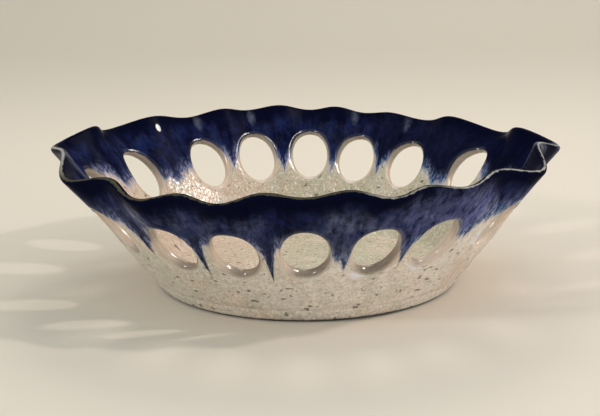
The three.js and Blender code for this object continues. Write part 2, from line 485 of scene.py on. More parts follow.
# %% [markdown]
# ## The bands
#
# Above the openings the wall runs up the outside, over the lip and down the inside in one band.
# Below them one band runs down the outside to the seam with the slab, and one down the inside,
# round the corner and back under the wall, which closes it on top of the slab. Bridge Edge Loops
# could fill these bands, but their points have to agree with the cells beside them, so they
# take their columns from the same function.

# %% Bands
BAND_ROWS = 16
FOOT_ROWS = 16
FOOT_CROWD = 1.8  # rows lie closer together towards the groove


def edge_gap(angle, share, i):
    """Distance from the edge of the cell's own opening."""
    x = (angle - OPENING_ANGLES[i]) * FLOW_RADIUS / (OPENING_WIDTH / 2)
    y = ((share - middle_share) * slope_length - row_lift(i)) / (OPENING_LENGTH / 2)
    return (np.hypot(x, y) - 1) * OPENING_LENGTH / 2


def add_band(i, share, depth, radius, height):
    """A band of the wall across one cell, given row by row."""
    columns = cell_columns(i)
    angle, share, depth = np.broadcast_arrays(columns[None], share[:, None], depth[:, None])
    points = shape_wall(angle, radius[:, None], height[:, None])
    add_patch(wall, points, glaze_places(angle, share, depth, edge_gap(angle, share, i)), False)


for i in range(COUNT):
    up = np.linspace(cell_high, 1, BAND_ROWS + 1)
    share = np.concatenate([up, np.ones(len(lip_r)), up[::-1]])
    depth = np.concatenate([np.zeros(len(up)), lip_depth, np.ones(len(up))])
    radius, height = in_clay(share, depth)
    on_lip = slice(len(up), len(up) + len(lip_r))
    radius[on_lip], height[on_lip] = lip_r, lip_z
    add_band(i, share, depth, radius, height)

    share = seam + (cell_low - seam) * np.linspace(0, 1, FOOT_ROWS + 1) ** FOOT_CROWD
    radius, height = in_clay(share, 0)
    add_band(i, share, np.zeros(len(share)), radius - groove_at(height), height)

    down = np.linspace(cell_low, corner_top, FOOT_ROWS + 1)
    radius, height = in_clay(down, 1)
    radius = np.concatenate([radius, corner_r[1:], [outside(seam)[0] - GROOVE_DEPTH]])
    height = np.concatenate([height, corner_z[1:], [FLOOR_THICKNESS]])
    along_corner = np.linspace(0, 2 * CORNER_SMEAR, CORNER_ROWS + 2)[1:] / slope_length
    share = np.concatenate([down, corner_top - along_corner])
    add_band(i, share, np.ones(len(share)), radius, height)
print("wall points before sewing", wall["total"])

# %% [markdown]
# ## Sewing patches together
#
# The clay has no seams between the patches, so points that two patches share become one point,
# and the quads become one smooth mesh. The Merge by Distance tool would do this on a finished
# mesh. Here the arrays are merged first, so that the layers for the glaze stay in step with the
# points, and they are kept on the mesh as named attributes.

# %% Sewing
WELD_DIGITS = 3  # points that agree to a thousandth of a millimetre are one


def sewn(work, name):
    points = np.concatenate(work["points"])
    rounded = np.round(points, WELD_DIGITS)
    _, first, back = np.unique(rounded, axis=0, return_index=True, return_inverse=True)
    faces = back.reshape(-1)[np.concatenate(work["faces"])]
    mesh = bpy.data.meshes.new(name)
    mesh.from_pydata((points[first] * MM).tolist(), [], faces.tolist())
    for key, width in LAYERS.items():
        values = np.concatenate(work[key])[first].astype(np.float32)
        layer = mesh.attributes.new(key, "FLOAT_VECTOR" if width == 3 else "FLOAT", "POINT")
        layer.data.foreach_set("vector" if width == 3 else "value", values.ravel())
    mesh.polygons.foreach_set("use_smooth", np.ones(len(mesh.polygons), bool))
    piece = bpy.data.objects.new(name, mesh)
    bpy.context.collection.objects.link(piece)
    return piece


bowl_wall = sewn(wall, "glazed_wall")
print("wall", len(bowl_wall.data.vertices), "points", len(bowl_wall.data.polygons), "faces")

# %% [markdown]
# ## The hand-made relief
#
# Fingers left slow lumps and shallow dimples in the wall, and the cobalt stands proud of the cream
# and is thickest in the drips. A Displace modifier could push the points, but it knows nothing
# of the edge of the cobalt. The layers on the mesh do, so each point is moved along its normal
# by what lies there.

# %% Relief
LUMP = 0.3  # mm, height of the slow lumps
LUMP_LENGTH = 26
DIMPLE = 0.04
DIMPLE_LENGTH = 7
LUMPS_BEGIN = 1  # mm above the seam
LUMPS_FULL = 8
COBALT_COAT = 0.3
COAT_EDGE = (-1, 1.5)  # mm inside the cobalt where its coat begins and is full
DRIP_BEAD = 0.45
BEAD_TIP = (-1, 1)
BEAD_TAIL = (7, 2)


def ease(value, low, high):
    t = np.clip((value - low) / (high - low), 0, 1)
    return t * t * (3 - 2 * t)


def layer_of(mesh, key):
    values = np.empty(len(mesh.vertices), np.float32)
    mesh.attributes[key].data.foreach_get("value", values)
    return values


def relieve(piece):
    """Pushes every point out along its normal by the lumps and the thickness of the cobalt."""
    mesh = piece.data
    points = np.array([v.co[:] for v in mesh.vertices]) / MM
    normals = np.array([n.vector[:] for n in mesh.vertex_normals])
    slow = np.array([noise.noise(Vector(p / LUMP_LENGTH)) for p in points])
    quick = np.array([noise.noise(Vector(p / DIMPLE_LENGTH)) for p in points])
    free = ease(points[:, 2], FLOOR_THICKNESS + LUMPS_BEGIN, FLOOR_THICKNESS + LUMPS_FULL)
    run, edge, drip = (layer_of(mesh, key) for key in ("run", "edge", "drip"))
    coat = COBALT_COAT * ease(run, *COAT_EDGE) * ease(edge, -GLAZE_LAP, EDGE_ROUNDS[0])
    bead = DRIP_BEAD * drip * ease(run, *BEAD_TIP) * ease(run, *BEAD_TAIL)
    rise = (LUMP * slow + DIMPLE * quick) * free + coat + bead
    mesh.vertices.foreach_set("co", ((points + normals * rise[:, None]) * MM).astype(np.float32).ravel())
    mesh.update()
    return rise


rise = relieve(bowl_wall)
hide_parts("pierced_wall")
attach(bowl_wall, "root")
print("relief from", round(float(rise.min()), 2), "to", round(float(rise.max()), 2), "mm")

# %% [markdown]
# ## The floor slab
#
# The slab was rolled out and cut round. Its edge carries on the slope of the wall down to
# the table, with a softened foot, and its top is the floor of the bowl. A cylinder with a bevel
# comes near it, but its side would not meet the wall in one slope. So its profile is written out
# and turned once round, in the same patch form as the wall, and the glaze finds its layers here too.

# %% Profile of the slab
FLOOR_RINGS = 24
UNDER_RINGS = 12
FOOT_STEPS = 5
SIDE_STEPS = 10
SIDE_CROWD = 1.5  # rows lie closer together towards the groove
CENTRE_RADIUS = 0.5


def slab_profile():
    edge_share = FLOOR_EDGE_ROUND / RIM_HEIGHT
    edge_r, edge_z = outside(edge_share)
    flat_r = BASE_RADIUS - FLOOR_EDGE_ROUND
    t = np.linspace(0, 1, FOOT_STEPS)
    foot_r = (1 - t) ** 2 * flat_r + 2 * t * (1 - t) * BASE_RADIUS + t**2 * edge_r
    foot_z = t**2 * edge_z
    side_r, side_z = outside(seam - (seam - edge_share) * np.linspace(1, 0, SIDE_STEPS)[1:] ** SIDE_CROWD)
    under = np.linspace(CENTRE_RADIUS, flat_r, UNDER_RINGS)[:-1]
    top = np.linspace(outside(seam)[0], CENTRE_RADIUS, FLOOR_RINGS)[1:]
    r = np.concatenate([under, foot_r, side_r - groove_at(side_z), top])
    z = np.concatenate([np.zeros(len(under)), foot_z, side_z, np.full(len(top), FLOOR_THICKNESS)])
    is_side = np.concatenate([np.zeros(len(under)), np.ones(len(foot_r) + len(side_r)), np.zeros(len(top))])
    return r, z, is_side > 0


profile = slab_profile()
print("points along the slab's profile", len(profile[0]))

# %% Floor slab
SLAB_SEGMENTS = 192

slab = new_patchwork()
angle = np.linspace(0, FULL_TURN, SLAB_SEGMENTS, endpoint=False)
r, z, is_side, angle = np.broadcast_arrays(*(row[:, None] for row in profile), angle[None])
points = np.stack([r * np.sin(angle), -r * np.cos(angle), z], -1)
down = np.where(is_side, slope_length - z + LIP_ARC, -(slope_length + BASE_RADIUS - r))
drawn_in = FLOW_RADIUS * np.where(is_side, 1, r / BASE_RADIUS)
flow = np.stack([drawn_in * np.sin(angle), -drawn_in * np.cos(angle), down], -1)
layers = {"flow": flow, **{name: np.zeros(r.shape) for name in LAYERS if name != "flow"}}
add_patch(slab, points, layers, True)
bowl_floor = sewn(slab, "glazed_floor")
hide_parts("floor_slab")
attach(bowl_floor, "root")
print("floor", len(bowl_floor.data.vertices), "points")

# %% [markdown]
# ## Helpers for node maths
#
# A glaze is a mix of minerals, and a shader can be mixed in the same way, from many small nodes.
# They could be placed and wired by hand in the shader editor. With a few helpers that put a node
# into a tree and wire it up, a recipe reads from top to bottom like a list of ingredients.

# %% Node maths
def put(tree, kind, sockets, **settings):
    made = tree.nodes.new("ShaderNode" + kind)
    for name, value in settings.items():
        setattr(made, name, value)
    for name, value in sockets.items():
        if isinstance(value, bpy.types.NodeSocket):
            tree.links.new(value, made.inputs[name])
        else:
            made.inputs[name].default_value = value
    return made


def sums(tree, operation, a, b):
    return put(tree, "Math", {0: a, 1: b}, operation=operation).outputs[0]


def plus(tree, *values):
    made = values[0]
    for value in values[1:]:
        made = sums(tree, "ADD", made, value)
    return made


def times(tree, *values):
    made = values[0]
    for value in values[1:]:
        made = sums(tree, "MULTIPLY", made, value)
    return made


def rest_of_one(tree, value):
    return sums(tree, "SUBTRACT", 1, value)


def size_of(tree, value):
    """A distance without its sign."""
    return sums(tree, "ABSOLUTE", value, 0)


def step(tree, value, low, high):
    """0 at low, 1 at high, softly between; low may be above high."""
    sockets = {"Value": value, "From Min": low, "From Max": high}
    return put(tree, "MapRange", sockets, interpolation_type="SMOOTHSTEP").outputs["Result"]


def moved(tree, operation, a, b):
    return put(tree, "VectorMath", {0: a, 1: b}, operation=operation).outputs


print("maths helpers ready")

# %% [markdown]
# ## Helpers for grain and colour
#
# Every speck and streak in the glazes comes from noise that lies on the flow of the glaze, so
# that it can be drawn out down the slope as the melt was. An image texture could hold such a
# surface, but it would need an unwrapped mesh and would blur in a close view. Colours are written
# as they look on a screen.

# %% Grain and colour
def srgb(red, green, blue):
    """A colour as seen on screen, 0 to 255, as the shader's linear colour."""
    seen = np.array([red, green, blue]) / 255
    linear = np.where(seen > 0.04045, ((seen + 0.055) / 1.055) ** 2.4, seen / 12.92)
    return (*linear.tolist(), 1)


def grain(tree, place, scale, detail, stretch=(1, 1, 1), harsh=0.5):
    """Noise from 0 to 1 at so many grains per millimetre, drawn out along the flow."""
    drawn = moved(tree, "MULTIPLY", place, stretch)[0]
    sockets = {"Vector": drawn, "Scale": scale, "Detail": detail, "Roughness": harsh}
    return put(tree, "TexNoise", sockets).outputs["Fac"]


def swing(tree, value, amount):
    """A noise of 0 to 1 as a swing about 0, from minus to plus half the amount."""
    return times(tree, sums(tree, "SUBTRACT", value, 0.5), amount)


def blended(tree, factor, a, b):
    sockets = {"Factor": factor, 6: a, 7: b}
    return put(tree, "Mix", sockets, data_type="RGBA").outputs[2]


def shaded(tree, colour, amount):
    """A colour made lighter or darker: 0 leaves it as it is."""
    factor = plus(tree, amount, 1)
    return put(tree, "VectorMath", {0: colour, "Scale": factor}, operation="SCALE").outputs[0]


print("half grey on a screen is", round(srgb(128, 128, 128)[0], 2), "in linear light")

# %% [markdown]
# ## Recipes and places
#
# The cream covers both the wall and the slab, so its recipe is a node group: it is built once and
# placed in each material. Copying the nodes into each would work too, but then a change has to be
# made twice. Some marks in the glaze are found at one place only, which is given by its angle and
# its distance down from the lip. The inside of the wall counts as a minus distance.

# %% Recipes and places
def recipe(name, inputs, outputs):
    tree = bpy.data.node_groups.new(name, "ShaderNodeTree")
    for socket, kind in inputs.items():
        tree.interface.new_socket(socket, in_out="INPUT", socket_type="NodeSocket" + kind)
    for socket, kind in outputs.items():
        tree.interface.new_socket(socket, in_out="OUTPUT", socket_type="NodeSocket" + kind)
    return tree, tree.nodes.new("NodeGroupInput").outputs, tree.nodes.new("NodeGroupOutput").inputs


def use(tree, group, sockets):
    made = tree.nodes.new("ShaderNodeGroup")
    made.node_tree = group
    for name, value in sockets.items():
        tree.links.new(value, made.inputs[name])
    return made.outputs


def flow_place(degrees, down):
    turn = math.radians(degrees)
    return Vector((FLOW_RADIUS * math.sin(turn), -FLOW_RADIUS * math.cos(turn), down))


def away_from(tree, flow, place):
    return moved(tree, "DISTANCE", flow, place)["Value"]


print("front of the lip lies at", [round(v) for v in flow_place(0, 0)], "on the flow")

# %% [markdown]
# ## The cream glaze, its ground
#
# The cream is a glossy off-white over speckled clay, duller inside than out. Outside it is painted
# greyer towards the left of the bowl as painted shade, and inside it is painted lighter and pinker
# towards the left as painted light. Here and there it leans to pink or to grey-green, as the flame
# touched it. One colour with noise on top would look printed. So the ground is mixed first, from
# the side and the face of the wall, and two slow noises lay the pink and the green over it.

# %% Cream ground
CREAM_OUTSIDE = srgb(232, 221, 209)
# painted shade: the outside cream is greyer on the left, where the lamps light it less
CREAM_PAINTED_SHADE_LEFT = srgb(210, 202, 186)
CREAM_INSIDE = srgb(192, 181, 158)
# painted light: the inside cream is lighter and pinker on the left, where the right lamp falls
INSIDE_PAINTED_LIGHT_LEFT = srgb(212, 187, 166)
CREAM_PINK = srgb(222, 198, 180)
CREAM_GREEN = srgb(198, 193, 173)
OUTSIDE_TURN = (-80, 30)  # mm across the bowl, from the left colour to the right one
INSIDE_TURN = (-70, 10)
OVER_LIP = (-1, 1)  # mm from the crest of the lip, inside to outside
BLUSH_GRAIN = (0.04, 3)  # grains per millimetre and detail, then stretch and harshness
MOSS_GRAIN = (0.055, 3, (1, 1, 0.8))
TINT_SHOWS = (0.5, 0.66)
BLUSH = 0.6
MOSS = 0.45

cream_recipe, read, give = recipe("cream_glaze", {"Flow": "Vector"}, {"Color": "Color", "Height": "Float"})
tree = cream_recipe
flow_in = read["Flow"]
place = put(tree, "SeparateXYZ", {0: flow_in}).outputs
outer = blended(tree, step(tree, place["X"], *OUTSIDE_TURN), CREAM_PAINTED_SHADE_LEFT, CREAM_OUTSIDE)
inner = blended(tree, step(tree, place["X"], *INSIDE_TURN), INSIDE_PAINTED_LIGHT_LEFT, CREAM_INSIDE)
base = blended(tree, step(tree, place["Z"], *OVER_LIP), inner, outer)
blush = step(tree, grain(tree, flow_in, *BLUSH_GRAIN), *TINT_SHOWS)
moss = step(tree, grain(tree, flow_in, *MOSS_GRAIN), *TINT_SHOWS)
base = blended(tree, times(tree, blush, BLUSH), base, CREAM_PINK)
base = blended(tree, times(tree, moss, MOSS), base, CREAM_GREEN)
print("cream ground", len(tree.nodes), "nodes")

# %% [markdown]
# ## The cream glaze, its specks
#
# Iron in the clay bleeds through the cream as brown specks and short dashes. The glaze is densely
# pocked, near-white dots are painted on it as painted sparkle highlights, and the fingers left faint
# level lines. A Voronoi texture gives round dots, but these specks have torn outlines, which the
# peaks of a noise have too. The pocks also go out as a height, for the relief and the gloss.

# %% Cream specks
PEPPER = srgb(96, 82, 64)
# painted highlight: white dots stand for sparkles of the lamps on the cream
PAINTED_SPARKLE_WHITE = srgb(244, 238, 230)
MOTTLE_GRAIN = (0.28, 3)
POCK_GRAIN = (0.7, 3, (1, 1, 1), 0.65)
LINE_GRAIN = (0.5, 2, (0.06, 0.06, 1.2))
DASH_GRAIN = (0.21, 1, (0.9, 0.9, 1.3))
PEPPER_GRAIN = (0.42, 1, (1, 1, 1.4))
PAINTED_SPARKLE_GRAIN = (0.7, 1)
MOTTLE, POCK, LINE = 0.55, 1.1, 0.3  # how far each swings the lightness
DASH_SHOWS, DASH = (0.68, 0.72), 0.75
PEPPER_SHOWS, PEPPERED = (0.69, 0.75), 0.65
PAINTED_SPARKLE_SHOWS, PAINTED_SPARKLE = (0.6, 0.72), 0.7
SPECK_SINK = 0.5

pocks = grain(tree, flow_in, *POCK_GRAIN)
mottle = swing(tree, grain(tree, flow_in, *MOTTLE_GRAIN), MOTTLE)
lines = swing(tree, grain(tree, flow_in, *LINE_GRAIN), LINE)
base = shaded(tree, base, plus(tree, mottle, swing(tree, pocks, POCK), lines))
dashes = times(tree, step(tree, grain(tree, flow_in, *DASH_GRAIN), *DASH_SHOWS), DASH)
pepper = times(tree, step(tree, grain(tree, flow_in, *PEPPER_GRAIN), *PEPPER_SHOWS), PEPPERED)
specks = sums(tree, "MAXIMUM", dashes, pepper)
# painted highlight: the sparkle dots
painted_sparkles = times(tree, step(tree, grain(tree, flow_in, *PAINTED_SPARKLE_GRAIN), *PAINTED_SPARKLE_SHOWS), PAINTED_SPARKLE)
base = blended(tree, painted_sparkles, base, PAINTED_SPARKLE_WHITE)
tree.links.new(blended(tree, specks, base, PEPPER), give["Color"])
tree.links.new(sums(tree, "SUBTRACT", pocks, times(tree, specks, SPECK_SINK)), give["Height"])
print("cream recipe", len(tree.nodes), "nodes")

# %% [markdown]
# ## The cobalt glaze, its edge and depth
#
# Where it lies thick the cobalt is nearly black, with royal blue showing in its depth, less so
# inside on the right. Its edge is ragged, since the melt dissolved the cream grain by grain, and
# only in a drip it stays smooth. A sharp mask with a blurred border would look sprayed on. Here
# noise drawn out down the slope moves the edge itself, by some millimetres up and down.

# %% Cobalt edge
DOT_GRAIN, DOT_RAGGED = (0.85, 2, (1, 1, 0.4)), 10  # mm by which each noise moves the edge
WASH_GRAIN, WASH_RAGGED = (0.4, 3, (1, 1, 0.22)), 9
DRIP_CALMS = 0.8
DRIP_LENGTHENS = 2.6
THIN_RIGHT, THIN_BY = (66, 84), 3  # towards the right the outside coat is thinner

cobalt_recipe, read, give = recipe(
    "cobalt_glaze",
    {"Flow": "Vector", "Run": "Float", "Drip": "Float"},
    {"Color": "Color", "Mask": "Float"},
)
tree = cobalt_recipe
flow_in = read["Flow"]
drip = read["Drip"]
place = put(tree, "SeparateXYZ", {0: flow_in}).outputs
across, along = place["X"], place["Z"]
is_outside = step(tree, along, *OVER_LIP)
dots = grain(tree, flow_in, *DOT_GRAIN)
wash = grain(tree, flow_in, *WASH_GRAIN)
ragged = plus(tree, swing(tree, dots, DOT_RAGGED), swing(tree, wash, WASH_RAGGED))
ragged = times(tree, ragged, rest_of_one(tree, times(tree, drip, DRIP_CALMS)))
run = plus(tree, read["Run"], ragged, times(tree, drip, DRIP_LENGTHENS))
thinner = sums(tree, "SUBTRACT", run, times(tree, step(tree, across, *THIN_RIGHT), is_outside, THIN_BY))
print("cobalt edge", len(tree.nodes), "nodes")

# %% Cobalt depth
INK = srgb(10, 12, 34)
ROYAL = srgb(25, 34, 76)
CLOUD_GRAIN = (0.12, 7, (1, 1, 0.6), 0.72)
DARK_RIGHT, DARK_BY = (10, 60), 0.8  # inside on the right the cobalt stays dark
ROYAL_SHOWS = (0.4, 0.62)
ROYAL_BELOW_LIP = (4, 13)

from_lip = size_of(tree, along)
cloud = grain(tree, flow_in, *CLOUD_GRAIN)
dark_right = times(tree, rest_of_one(tree, is_outside), step(tree, across, *DARK_RIGHT), DARK_BY)
clear_of_right = rest_of_one(tree, dark_right)
royal = times(tree, step(tree, cloud, *ROYAL_SHOWS), step(tree, from_lip, *ROYAL_BELOW_LIP), clear_of_right)
colour = blended(tree, royal, INK, ROYAL)
print("cobalt edge with its depth", len(tree.nodes), "nodes")

# %% [markdown]
# ## Smoke in the cobalt
#
# Milky smoke floats in the cobalt where crystals formed as it cooled. It is densest right of the
# front, turns to lavender further right, and leaves a dark band under the lip and two dark calms.
# A volume inside the glaze would be the true way, and far too slow for a coat this thin. A haze
# that is mixed into the colour looks the same, because the glaze lets light only a little way in.

# %% Smoke where it gathers
BILLOW_GRAIN = (0.06, 8, (1, 1, 0.8), 0.7)
CURDLE_GRAIN = (0.3, 4, (1, 1, 0.5), 0.7)
BILLOW_SHOWS, BILLOW = (0.44, 0.62), 0.5
CURDLE_SHOWS = (0.25, 0.75)
RIGHT_BEGINS, RIGHT_ENDS, RIGHT_HAZE = (24, 60), (105, 90), 0.68
LOWER_BEGINS, LOWER_HAZE = (7, 22), 0.42
CLOUD_PLACE, CLOUD_REACH, CLOUD_HAZE = flow_place(8.5, 17), (18, 3), 0.6

billow = step(tree, grain(tree, flow_in, *BILLOW_GRAIN), *BILLOW_SHOWS)
curdle = step(tree, grain(tree, flow_in, *CURDLE_GRAIN), *CURDLE_SHOWS)
to_right = times(tree, step(tree, across, *RIGHT_BEGINS), step(tree, across, *RIGHT_ENDS))
lower = times(tree, step(tree, along, *LOWER_BEGINS), LOWER_HAZE)
near_cloud = times(tree, step(tree, away_from(tree, flow_in, CLOUD_PLACE), *CLOUD_REACH), CLOUD_HAZE)
haze = plus(tree, times(tree, billow, BILLOW), times(tree, to_right, RIGHT_HAZE), lower, near_cloud)
print("smoke gathers", len(tree.nodes), "nodes so far")

# %% Smoke where it clears
SMOKE = srgb(88, 94, 122)
LAVENDER = srgb(100, 105, 154)
HUE_TURN = (10, 70)
FACE_TURN, INSIDE_HAZE = (-6, 6), 0.3  # the smoke is thinner inside
LIP_SWING, LIP_CLEARS = 12, (4, 14)  # mm by which the dark band under the lip wanders, and its edge
RIGHT_RISES, RIGHT_RISE = (78, 62), 8  # mm by which the haze climbs to the lip on the right
END_BEGINS, END_CLEARS = (90, 102), 0.75
CALMS = ((-2, 13), (50, 6))  # angle, distance down
CALM_REACH, CALM = (17, 7), 0.75

by_face = plus(tree, times(tree, step(tree, along, *FACE_TURN), 1 - INSIDE_HAZE), INSIDE_HAZE)
climb = times(tree, to_right, step(tree, across, *RIGHT_RISES), RIGHT_RISE)
under_lip = step(tree, plus(tree, from_lip, swing(tree, cloud, LIP_SWING), climb), *LIP_CLEARS)
before_end = rest_of_one(tree, times(tree, step(tree, across, *END_BEGINS), END_CLEARS))
smoke = times(tree, haze, curdle, by_face, before_end, under_lip, clear_of_right)
for degrees, down in CALMS:
    near_calm = step(tree, away_from(tree, flow_in, flow_place(degrees, down)), *CALM_REACH)
    smoke = times(tree, smoke, rest_of_one(tree, times(tree, near_calm, CALM)))
hazy = blended(tree, step(tree, across, *HUE_TURN), SMOKE, LAVENDER)
colour = blended(tree, smoke, colour, hazy)
print("cobalt with smoke", len(tree.nodes), "nodes")

# %% [markdown]
# ## Veils and painted sheens in the cobalt
#
# On a few ribs pale veils hang in the cobalt, drawn out down the slope: glaze that slid over glaze.
# The same pale is painted as painted sheen in four flute hollows inside and on the folds at the two
# ends. Noise alone never puts these where they belong. So each has its place in a list, and the
# curdled noise of the smoke breaks up its outline.

# %% Veils and painted sheens
# the pale of the veils and flecks, and of the painted sheens
MILK_AND_SHEEN = srgb(160, 166, 194)
VEILS_AND_PAINTED_SHEENS = (  # angle, distance down, width and strength
    (46, 25, 6, 0.7), (322, 20, 8, 0.75), (9.6, 41, 6, 0.6),
    # painted sheen: the next four rows are pale streaks in the flute hollows inside at the back
    (212, -7, 3, 0.3), (196, -7, 3, 0.35), (166, -6, 3, 0.3), (150, -7, 3, 0.25),
    # painted sheen: the last three rows are pale patches on the folds at the two ends
    (75, -9, 10, 0.6), (88, 5, 10, 0.7), (286, -7, 9, 0.35),
)
VEIL_AND_SHEEN_CORE = 1 / 6  # the full strength is in this share of the width
VEIL_AND_SHEEN_DRAW = Vector((1, 1, 0.4))

drawn_out = moved(tree, "MULTIPLY", flow_in, VEIL_AND_SHEEN_DRAW)[0]
for degrees, down, width, strength in VEILS_AND_PAINTED_SHEENS:
    away = away_from(tree, drawn_out, flow_place(degrees, down) * VEIL_AND_SHEEN_DRAW)
    veil_and_sheen = times(tree, step(tree, away, width, width * VEIL_AND_SHEEN_CORE), curdle, strength)
    colour = blended(tree, veil_and_sheen, colour, MILK_AND_SHEEN)
print(len(VEILS_AND_PAINTED_SHEENS), "veils")

# %% [markdown]
# ## Where the cobalt thins
#
# Downhill the cobalt thins to a clear blue, violet on the left of the bowl and nearer to teal on
# the right, is peppered with pale dots, and dissolves over the cream with a lavender fringe. In
# a drip it gathers again and ends dark. One colour ramp along the run could hold these bands in
# order. Separate blends were chosen because dots, fringe and drip each have a noise of their own.

# %% Thin cobalt
VIOLET = srgb(62, 66, 108)
TEAL = srgb(40, 72, 116)
FRINGE = srgb(202, 197, 208)
SLATE = srgb(38, 42, 64)
CLEAR_TURN = (-40, 60)
CLEAR_SHOWS, CLEAR = (9, 1.5), 0.8  # mm inside the edge of the cobalt
FLECK_SHOWS, FLECK_REACH, FLECK = (0.44, 0.64), (12, 1), 0.8
FRINGE_REACH, FRINGED = (2.4, -0.5), 0.8
BEAD_REACH, BEADED = (6, 2), 0.9
MASK_EDGE = (-3.5, 3)

clear = blended(tree, step(tree, across, *CLEAR_TURN), VIOLET, TEAL)
colour = blended(tree, times(tree, step(tree, thinner, *CLEAR_SHOWS), CLEAR), colour, clear)
flecks = times(tree, step(tree, dots, *FLECK_SHOWS), step(tree, thinner, *FLECK_REACH), FLECK)
colour = blended(tree, flecks, colour, MILK_AND_SHEEN)
fringe = times(tree, step(tree, run, *FRINGE_REACH), rest_of_one(tree, drip), FRINGED)
colour = blended(tree, fringe, colour, FRINGE)
bead = times(tree, drip, step(tree, read["Run"], *BEAD_REACH), BEADED)
tree.links.new(blended(tree, bead, colour, SLATE), give["Color"])
tree.links.new(step(tree, run, *MASK_EDGE), give["Mask"])
print("cobalt recipe", len(tree.nodes), "nodes")

# %% [markdown]
# ## The glazed wall, from cream to cobalt
#
# On the wall the cobalt lies over the cream. The cut faces of the openings kept only a thin coat:
# peach on most of their way round, and grey where the cobalt ran over it. The lower right of the
# front cuts is painted brown as painted shade. Below three openings pale lilac spots are painted
# on the cream as painted glints. Separate materials on the cut faces would end at a row of quads.
# One material that reads the layers on the mesh lets each colour fade into the next.

# %% Layers of the wall
glazed = bpy.data.materials.new("glazed_wall")
glazed.use_nodes = True
tree = glazed.node_tree
shader = tree.nodes["Principled BSDF"]
flow_at = put(tree, "Attribute", {}, attribute_name="flow").outputs["Vector"]
run_at, edge_at, drip_on, painted_shade_at = (
    put(tree, "Attribute", {}, attribute_name=name).outputs["Fac"]
    for name in ("run", "edge", "drip", "painted_shade_side")
)
place = put(tree, "SeparateXYZ", {0: flow_at}).outputs
cream = use(tree, cream_recipe, {"Flow": flow_at})
cobalt = use(tree, cobalt_recipe, {"Flow": flow_at, "Run": run_at, "Drip": drip_on})
print("wall reads", [node.attribute_name for node in tree.nodes if node.type == "ATTRIBUTE"])

# %% Cut faces
CUT_PEACH = srgb(240, 212, 190)
# painted shade: brown for the lower right of the front cuts, which the lamps leave dark
CUT_PAINTED_SHADE = srgb(112, 84, 62)
CUT_GREY = srgb(156, 144, 134)
PAINTED_SHADE_SHOWS = (0.4, 0.8)
PAINTED_SHADE_FRONT, PAINTED_SHADE_LEFT = (-30, -70), (66, 36)
GREY_SHOWS = (-5, 7)
CREAM_ON_CUT = 0.3
CUT_FADES = (-0.8, 2.4)

# painted shade, only on the front openings and fading out towards the right
shade_at_front = times(tree, step(tree, place["Y"], *PAINTED_SHADE_FRONT), step(tree, place["X"], *PAINTED_SHADE_LEFT))
cut_face = blended(tree, times(tree, step(tree, painted_shade_at, *PAINTED_SHADE_SHOWS), shade_at_front), CUT_PEACH, CUT_PAINTED_SHADE)
cut_face = blended(tree, step(tree, run_at, *GREY_SHOWS), cut_face, CUT_GREY)
cut_face = blended(tree, CREAM_ON_CUT, cut_face, cream["Color"])
body = blended(tree, step(tree, edge_at, *CUT_FADES), cut_face, cream["Color"])
print("cut faces", len(tree.nodes), "nodes so far")

# %% Painted glints and cobalt
# painted highlight: near-white lilac spots below three openings stand for glints of the lamps
PAINTED_GLINT = srgb(244, 240, 250)
PAINTED_GLINT_PLACES = ((13.5, 50), (30.5, 48), (49.5, 40))  # angle, distance down
PAINTED_GLINT_REACH, PAINTED_GLINT_BREAKS = (6.5, 2), (0.35, 0.55)
WOBBLE_GRAIN, WOBBLE = (0.3, 4), 2.4
FACE_BEGINS = (-0.4, 1)  # mm from the edge of a cut, where the cobalt begins

wobble = grain(tree, flow_at, *WOBBLE_GRAIN)
on_face = step(tree, plus(tree, edge_at, swing(tree, wobble, WOBBLE)), *FACE_BEGINS)
for degrees, down in PAINTED_GLINT_PLACES:
    near_glint = step(tree, away_from(tree, flow_at, flow_place(degrees, down)), *PAINTED_GLINT_REACH)
    body = blended(tree, times(tree, near_glint, step(tree, wobble, *PAINTED_GLINT_BREAKS)), body, PAINTED_GLINT)
mask = times(tree, cobalt["Mask"], on_face)
colour = blended(tree, mask, body, cobalt["Color"])
print("wall colours", len(tree.nodes), "nodes")

# %% [markdown]
# ## The worn lip and its painted highlight
#
# On the crest of the lip the glaze drew away in the fire, and the clay shows through in a thin,
# broken olive line. To the right and at the two ends that line is painted pale as a painted
# highlight along the lip. The Pointiness of the surface would find such edges, but on a smooth round
# lip it has little to hold on to. The flow knows the distance from the crest, so the line is where
# that distance is less than a millimetre.

# %% Worn lip and painted highlight
OLIVE = srgb(80, 77, 60)
# painted highlight: the pale of the lip line on the right and at the two ends
PAINTED_LIP_HIGHLIGHT = srgb(168, 165, 156)
CREST_SHIFT = 0.1  # mm by which the line lies inside the crest
DOTTED_GRAIN, DOTTED = (0.5, 4), 1.6
WIDER_LEFT, WIDER = (-50, -80), 0.25
LINE_WIDTH = (0.6, 0.15)
GAP_GRAIN, GAP_SHOWS = (0.08, 3), (0.25, 0.45)
LIP_HIGHLIGHT_GRAIN, LIP_HIGHLIGHT_SWING, LIP_HIGHLIGHT_RIGHT = (0.05, 3), 160, (10, 60)
LIP_HIGHLIGHT_ENDS = (90, 103)
WEAR_AND_HIGHLIGHT = 0.9

from_crest = size_of(tree, plus(tree, place["Z"], CREST_SHIFT))
widened = times(tree, step(tree, place["X"], *WIDER_LEFT), WIDER)
from_crest = sums(tree, "SUBTRACT", from_crest, widened)
dotted = swing(tree, grain(tree, flow_at, *DOTTED_GRAIN), DOTTED)
unbroken = step(tree, grain(tree, flow_at, *GAP_GRAIN), *GAP_SHOWS)
wear_and_highlight = times(tree, step(tree, plus(tree, from_crest, dotted), *LINE_WIDTH), unbroken, WEAR_AND_HIGHLIGHT)
